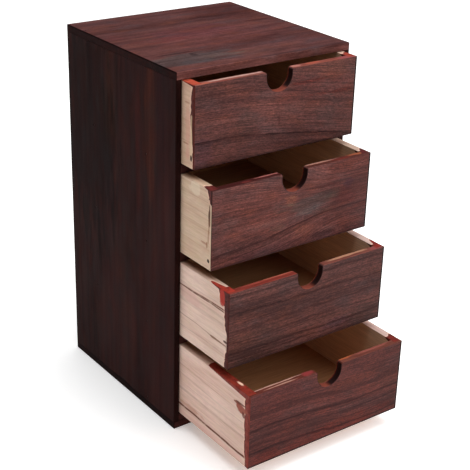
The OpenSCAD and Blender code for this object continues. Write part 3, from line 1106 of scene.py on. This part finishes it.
# Marks on the outside of the left boards: (y, z, reach, reach, colour, strength)
SIDE_MARKS = {
    1: ((7, 24, 2.5, 17, paint(206, 150, 132), 0.5), (3.4, 17, 1.1, 16, paint(214, 186, 150), 0.6),
        (3.2, 6.4, 1.0, 1.9, paint(40, 15, 7), 1.0), (9, 15, 4, 0.7, paint(150, 90, 72), 0.6),
        (8, 41, 3, 0.6, paint(160, 104, 84), 0.5)),
    2: ((2.4, 36.5, 1.0, 6.5, paint(82, 50, 32), 0.95), (2.8, 28, 0.6, 5, paint(140, 100, 72), 0.6),
        (3.4, 22, 0.6, 5, paint(150, 108, 78), 0.6), (4.8, 16, 0.8, 2, paint(146, 98, 68), 0.7),
        (7.5, 16.8, 3, 0.7, paint(150, 100, 74), 0.6), (2.9, 6.1, 1.3, 1.3, paint(20, 8, 5), 1.0),
        (1.2, 1.2, 1.2, 0.8, paint(70, 40, 25), 0.8), (18, 50, 6, 4, paint(224, 206, 180), 0.5)),
    3: ((3.2, 18.6, 1.9, 0.7, paint(74, 32, 20), 0.9), (7.4, 48, 2.6, 5, paint(166, 42, 28), 0.9),
        (13, 16, 8, 0.7, paint(120, 76, 48), 0.8), (1.4, 30, 1.2, 20, paint(60, 18, 13), 0.5),
        (40, 33, 14, 4, paint(206, 160, 150), 0.5)),
    4: ((8.4, 40, 5.6, 3.3, paint(138, 62, 44), 0.95), (13.4, 42.6, 3, 0.8, paint(120, 54, 34), 0.9),
        (9, 43.4, 5, 0.8, paint(92, 38, 22), 0.85), (6.2, 36.8, 1.8, 2, paint(100, 42, 28), 0.85),
        (40, 3, 40, 2.2, paint(214, 168, 156), 0.5), (64, 11, 14, 1.5, paint(176, 124, 100), 0.5)),
}
# Spots on the top edges of the left boards that stayed bare, drawn in white on black
BARE_SPOTS = {4: ((4.4, 16.5, 1.3, 3.4, WHITE, 1.0),)}
# The bare spots, and the raw wood that lightened next to the run stain
BARE_PAINT, FRINGE_PAINT = paint(224, 184, 158), paint(238, 190, 168)
# Painted shade on the top edge of the right and of the left boards, and tints of the raw wood
# towards the front and of the side boards' inner faces
RIGHT_TOP_SHADE, LEFT_TOP_SHADE = (0.88, 0.87, 0.95), (0.3, 0.21, 0.15)
FORWARD_TINT, INNER_FACE_TINT = (0.91, 0.91, 0.9), (1.45, 1.95, 2.7)


def drawer_side(n, side, sizes):
    """One side board, grooved for the floor."""
    node = f"drawer_{n}_{side}_side"
    board = plain_board(node, drawer_box(n), sizes, 1)
    floor_low, floor_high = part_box(f"drawer_{n}_floor")
    carve(board, [new_block("groove", floor_low, floor_high)])
    carve(board, brad_holes(*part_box(node), f"drawer_{n}_brads"))
    return board


def depth_in_run(finish, n, side, place, on_top, ragged, height):
    """How many millimetres inside the run stain's border a place is."""
    across_wall, y, z = place
    reach = finish.curve(z, RUN[n, side], height, RUN_MOST)
    taper = finish.product(on_top, finish.smooth(across_wall, 1.5, 4.5, 0.0, TOP_TAPER[n, side]))
    waver = finish.smooth(ragged, 0.25, 0.75, -0.8, 0.8)
    return finish.minus(reach, finish.plus(finish.plus(y, taper), waver))


def run_stain(finish, n, side, depth, on_top, mottle, colours):
    """The colour of the stain that ran in, mottled and with a dark rim."""
    on_side, over_top = RUN_PAINT[n]
    stain = finish.blend(on_top, on_side, over_top)
    if side == "right":
        stain = finish.times(1.0, stain, RIGHT_RUN_TINT)
    stain = finish.times(finish.smooth(mottle, 0.4, 0.65), stain, RUN_MOTTLE)
    rim = finish.product(finish.smooth(depth, -0.3, 0.3), finish.smooth(depth, 1.4, 0.3))
    return finish.blend(finish.product(rim, 0.8), stain, colours.bleed_dark)


def shaded_top(finish, side, colour, across_wall, depth, on_top):
    """The raw top edge with painted shade: light on the right boards, and on the left boards growing
    towards the inside and the back, where the drawer above shades it.
    """
    if side == "right":
        # painted shade on the right boards' top edge
        return finish.times(on_top, colour, RIGHT_TOP_SHADE)
    # painted shade on the left boards' top edge, deeper towards the inside and the back
    top_shading = finish.product(finish.smooth(across_wall, 0.8, 4.5, 0.35, 1.0),
                           finish.smooth(depth, 0.0, -22, 0.35, 1.0))
    return finish.times(finish.product(on_top, top_shading), colour, LEFT_TOP_SHADE)


def side_marks(finish, n, colour, place, on_top, rough_edge):
    """The brad marks, stains and bare spots of a left board."""
    x, y, z = place
    marked = finish.patches(colour, y, z, SIDE_MARKS[n], rough_edge, "MIX", 0.2)
    colour = finish.blend(finish.smooth(x, 0.6, 0.3), colour, marked)
    if n in BARE_SPOTS:
        bare = finish.patches(BLACK, x, y, BARE_SPOTS[n], rough_edge, "MIX", 0.3)
        colour = finish.blend(finish.product(on_top, bare), colour, BARE_PAINT)
    return colour


def side_finish(n, side, colours):
    """Raw wood with the front's stain run into it, painted shade on its top edge, and browner wood
    inside, darkened partly as painted shade.
    """
    finish = Finish(f"raw drawer {n} {side} side")
    low, high = drawer_box(n)
    x, y, z = finish.position(low)
    width, height = (high.x - low.x) / MM, (high.z - low.z) / MM
    board_low, board_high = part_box(f"drawer_{n}_{side}_side")
    wall = (board_high.x - board_low.x) / MM
    seed = seed_of("side", n) + (5 if side == "right" else 0)
    place = finish.vector(x, y, z)
    ragged = finish.noise(place, (0.14, 0.14, 0.14), seed + 3, 2.0, 0.5)
    mottle = finish.noise(place, (0.3, 0.3, 0.25), seed + 4, 3.0, 0.6)
    across_wall = finish.minus(width, x) if side == "right" else x
    on_top = finish.smooth(z, height - 0.5, height - 0.2)
    depth = depth_in_run(finish, n, side, (across_wall, y, z), on_top, ragged, height)

    colour, roughness, relief = raw_wood(
        finish, y, z, x, seed, colours, SIDE_LINES[n], RAW_TINT[n])
    colour = shaded_top(finish, side, colour, across_wall, depth, on_top)
    colour = finish.times(finish.smooth(y, 42, 14), colour, FORWARD_TINT)
    fringe = finish.smooth(depth, -1.6, 0.0, 0.0, 0.6)
    colour = finish.blend(fringe, colour, FRINGE_PAINT)
    on_inside = finish.product(finish.smooth(across_wall, wall - 0.6, wall - 0.2),
                               finish.smooth(z, height - 0.15, height - 0.5))
    inner = inner_wood(finish, y, z, x, seed + 5, INNER_FACE_TINT)
    colour = finish.blend(on_inside, colour, inner)
    stain = run_stain(finish, n, side, depth, on_top, mottle, colours)
    colour = finish.blend(finish.smooth(depth, -0.25, 0.35), colour, stain)
    if side == "left":
        rough_edge = finish.ragged(ragged, 0.3)
        colour = side_marks(finish, n, colour, (x, y, z), on_top, rough_edge)
    return finish.shade(colour, roughness, relief, depth=0.05, specular=0.25)


class CHEST_OT_drawer_sides(bpy.types.Operator):
    """Builds the raw side boards of the drawers"""

    bl_idname = "chest.drawer_sides"
    bl_label = "Build the drawer sides"

    def execute(self, context):
        sizes, colours = context.scene.chest_sizes, context.scene.chest_colours
        for n in DRAWERS:
            for side in SIDES:
                board = drawer_side(n, side, sizes)
                dress(board, f"drawer_{n}_{side}_side", f"drawer_{n}",
                      side_finish(n, side, colours))
        return {"FINISHED"}


def inner_finish(name, corner, board, seed):
    """The browner wood of the backs and floors, darkened partly as painted shade."""
    finish = Finish(name)
    along, across, depth = along_grain(finish.position(corner), board)
    colour = inner_wood(finish, along, across, depth, seed)
    fibre = finish.noise(finish.vector(along, across, depth), (0.05, 2.0, 2.0), seed + 2)
    return finish.shade(colour, 0.7, fibre, depth=0.05, specular=0.1)


class CHEST_OT_drawer_backs(bpy.types.Operator):
    """Builds the back boards of the drawers"""

    bl_idname = "chest.drawer_backs"
    bl_label = "Build the drawer backs"

    def execute(self, context):
        sizes = context.scene.chest_sizes
        for n in DRAWERS:
            node = f"drawer_{n}_back"
            board = plain_board(node, drawer_box(n), sizes, 0, f"drawer_{n}_brads")
            seed = seed_of("back", n)
            material = inner_finish(f"drawer back {n}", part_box(node)[0], "drawer back", seed)
            dress(board, node, f"drawer_{n}", material)
        return {"FINISHED"}


class CHEST_OT_drawer_floors(bpy.types.Operator):
    """Builds the floors of the drawers"""

    bl_idname = "chest.drawer_floors"
    bl_label = "Build the drawer floors"

    def execute(self, context):
        sizes = context.scene.chest_sizes
        for n in DRAWERS:
            node = f"drawer_{n}_floor"
            board = plain_board(node, drawer_box(n), sizes, 0)
            seed = seed_of("floor", n)
            material = inner_finish(f"drawer floor {n}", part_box(node)[0], "flat", seed)
            dress(board, node, f"drawer_{n}", material)
        return {"FINISHED"}


# ---- Brads ---------------------------------------------------------------------------

RUST, WIRE_SEED = paint(58, 34, 25), 5


def one_brad(radius, length):
    """A wire brad along Z: pointed tip down, cupped head with its top at the origin."""
    head, tip, cup, wire = 0.5 * MM, 1.2 * MM, 0.12 * MM, 0.84 * radius
    shank = length - head - tip
    clear_selection()
    bpy.ops.mesh.primitive_cylinder_add(
        vertices=BRAD_SIDES, radius=wire, depth=shank, location=(0, 0, -head - shank / 2))
    brad = bpy.context.object
    bpy.ops.object.transform_apply(location=True, rotation=True, scale=True)
    bpy.ops.object.mode_set(mode="EDIT")
    bpy.ops.mesh.select_mode(type="FACE")
    # Each step draws the end out by a rise and widens or narrows it
    point = ((-0.6 * tip, 0.55), (-0.4 * tip, 0.3))
    top = ((0, radius / wire), (head, 1.0), (0, 0.7), (-cup, 0.8))
    for facing, steps in ((-1, point), (1, top)):
        bpy.ops.mesh.select_all(action="DESELECT")
        mesh = bmesh.from_edit_mesh(brad.data)
        for face in mesh.faces:
            face.select_set(face.normal.z * facing > 0.9)
        bmesh.update_edit_mesh(brad.data)
        for rise, widen in steps:
            bpy.ops.mesh.extrude_region_move(TRANSFORM_OT_translate={"value": (0, 0, rise)})
            bpy.ops.transform.resize(value=(widen, widen, 1))
    bpy.ops.object.mode_set(mode="OBJECT")
    return brad


def brad_set(node):
    """All brads of a node, each turned with its head outwards, as one piece."""
    boxes = loose_boxes(node)
    size = boxes[0][1] - boxes[0][0]
    first = one_brad(min(size) / 2, max(size))
    copies = []
    for low, high in boxes:
        head, axis, length, outwards = brad_line(low, high)
        head[axis] += outwards * length / 2
        up = Vector((0, 0, 0))
        up[axis] = outwards
        turn = up.to_track_quat("Z", "Y").to_matrix().to_4x4()
        copy = first.copy()
        copy.data = first.data.copy()
        copy.data.transform(Matrix.Translation(head) @ turn)
        bpy.context.collection.objects.link(copy)
        copies.append(copy)
    bpy.data.objects.remove(first)
    pick(copies[0])
    for copy in copies:
        copy.select_set(True)
    bpy.ops.object.join()
    brads = bpy.context.object
    brads.name = "steel_" + node
    return brads


def wire_finish(node, colours):
    """Dull drawn steel with a little rust and stain on it."""
    finish = Finish("wire " + node.replace("_", " "))
    place = finish.vector(*finish.position(chest_box()[0]))
    spots = finish.noise(place, (1.5, 1.5, 1.5), WIRE_SEED)
    colour = finish.blend(finish.smooth(spots, 0.4, 0.6), colours.wire, RUST)
    roughness = finish.smooth(spots, 0.3, 0.7, 0.4, 0.7)
    return finish.shade(colour, roughness, spots, depth=0.02, specular=0.5)


class CHEST_OT_brads(bpy.types.Operator):
    """Builds the wire brads that pin the boards"""

    bl_idname = "chest.brads"
    bl_label = "Build the brads"

    def execute(self, context):
        colours = context.scene.chest_colours
        for body in ("cabinet", *(f"drawer_{n}" for n in DRAWERS)):
            node = body + "_brads"
            dress(brad_set(node), node, body, wire_finish(node, colours))
        return {"FINISHED"}


# ---- Stage ---------------------------------------------------------------------------

FLOOR_GREY, FLOOR_SEED = paint(232, 232, 232), 1
# The floor's width in metres, and the width in millimetres of the camera's sensor
FLOOR_WIDTH, SENSOR = 12, 36
# Each light's width, where it hangs, and what it faces, in metres
OVERHEAD = (3.0, (0, 0.3, 3.0), (0, 0.3, 0))
KEY = (2.4, (1.15, -1.5, 1.75), (0, -0.05, 0.12))


def soft_light(name, power, size, place, target):
    """Adds a square soft light that faces a target."""
    light = bpy.data.lights.new(name, "AREA")
    light.shape = "SQUARE"
    light.size = size
    light.energy = power
    lamp = bpy.data.objects.new(name, light)
    bpy.context.collection.objects.link(lamp)
    lamp.location = place
    lamp.rotation_euler = (Vector(target) - Vector(place)).to_track_quat("-Z", "Y").to_euler()


def pale_floor(stage):
    """Adds a wide floor, faintly mottled, with a little light coming up through it."""
    clear_selection()
    bpy.ops.mesh.primitive_plane_add(size=FLOOR_WIDTH, location=(0, 0, 0))
    floor = bpy.context.object
    floor.name = "floor"
    finish = Finish("pale floor")
    place = finish.vector(*finish.position((0, 0, 0)))
    tone = finish.noise(place, (0.002, 0.002, 0.002), FLOOR_SEED)
    mottle = finish.smooth(tone, 0.3, 0.7, 0.0, 0.04)
    colour = finish.blend(mottle, stage.floor_colour, FLOOR_GREY)
    floor.data.materials.append(finish.shade(colour, 0.9, tone, depth=0.01, specular=0.1))
    shader = floor.active_material.node_tree.nodes["Principled BSDF"]
    shader.inputs["Emission Color"].default_value = opaque(WHITE)
    shader.inputs["Emission Strength"].default_value = stage.floor_glow


def studio_world(strength):
    """A white world that lights the chest evenly from all round."""
    world = bpy.data.worlds.new("studio")
    world.use_nodes = True
    background = world.node_tree.nodes["Background"]
    background.inputs["Color"].default_value = opaque(WHITE)
    background.inputs["Strength"].default_value = strength
    return world


class CHEST_OT_stage(bpy.types.Operator):
    """Sets up the camera, the soft studio light and the pale floor"""

    bl_idname = "chest.stage"
    bl_label = "Set the stage"

    def execute(self, context):
        stage = context.scene.chest_stage
        camera = bpy.data.objects.new("camera", bpy.data.cameras.new("camera"))
        context.collection.objects.link(camera)
        camera.location = stage.camera_place
        camera.rotation_euler = stage.camera_turn
        camera.data.sensor_width = SENSOR
        camera.data.lens = stage.lens
        context.scene.camera = camera
        pale_floor(stage)
        soft_light("overhead light", stage.overhead, *OVERHEAD)
        soft_light("key light", stage.key, *KEY)
        context.scene.world = studio_world(stage.sky)
        context.scene.view_settings.view_transform = "Standard"
        return {"FINISHED"}


# ---- Add-on --------------------------------------------------------------------------

OPERATORS = (
    CHEST_OT_stage, CHEST_OT_cabinet, CHEST_OT_shelves, CHEST_OT_drawer_fronts,
    CHEST_OT_drawer_sides, CHEST_OT_drawer_backs, CHEST_OT_drawer_floors, CHEST_OT_brads,
)
GROUPS = {"chest_sizes": ChestSizes, "chest_colours": ChestColours, "chest_stage": ChestStage}


class CHEST_PT_panel(bpy.types.Panel):
    """The chest's steps, sizes and colours"""

    bl_idname = "CHEST_PT_panel"
    bl_label = "Desk chest"
    bl_space_type = "VIEW_3D"
    bl_region_type = "UI"
    bl_category = "Desk chest"

    def draw(self, context):
        for operator in OPERATORS:
            self.layout.operator(operator.bl_idname)
        for name, group in GROUPS.items():
            box = self.layout.box()
            for key in group.__annotations__:
                box.prop(getattr(context.scene, name), key)


def register():
    for group in GROUPS.values():
        bpy.utils.register_class(group)
    for operator in OPERATORS:
        bpy.utils.register_class(operator)
    bpy.utils.register_class(CHEST_PT_panel)
    for name, group in GROUPS.items():
        setattr(bpy.types.Scene, name, bpy.props.PointerProperty(type=group))


def unregister():
    for name in GROUPS:
        delattr(bpy.types.Scene, name)
    bpy.utils.unregister_class(CHEST_PT_panel)
    for operator in reversed(OPERATORS):
        bpy.utils.unregister_class(operator)
    for group in reversed(list(GROUPS.values())):
        bpy.utils.unregister_class(group)


def main():
    """Builds the whole chest and its stage."""
    register()
    bpy.ops.chest.stage()
    bpy.ops.chest.cabinet()
    bpy.ops.chest.shelves()
    bpy.ops.chest.drawer_fronts()
    bpy.ops.chest.drawer_sides()
    bpy.ops.chest.drawer_backs()
    bpy.ops.chest.drawer_floors()
    bpy.ops.chest.brads()


if __name__ == "__main__":
    main()
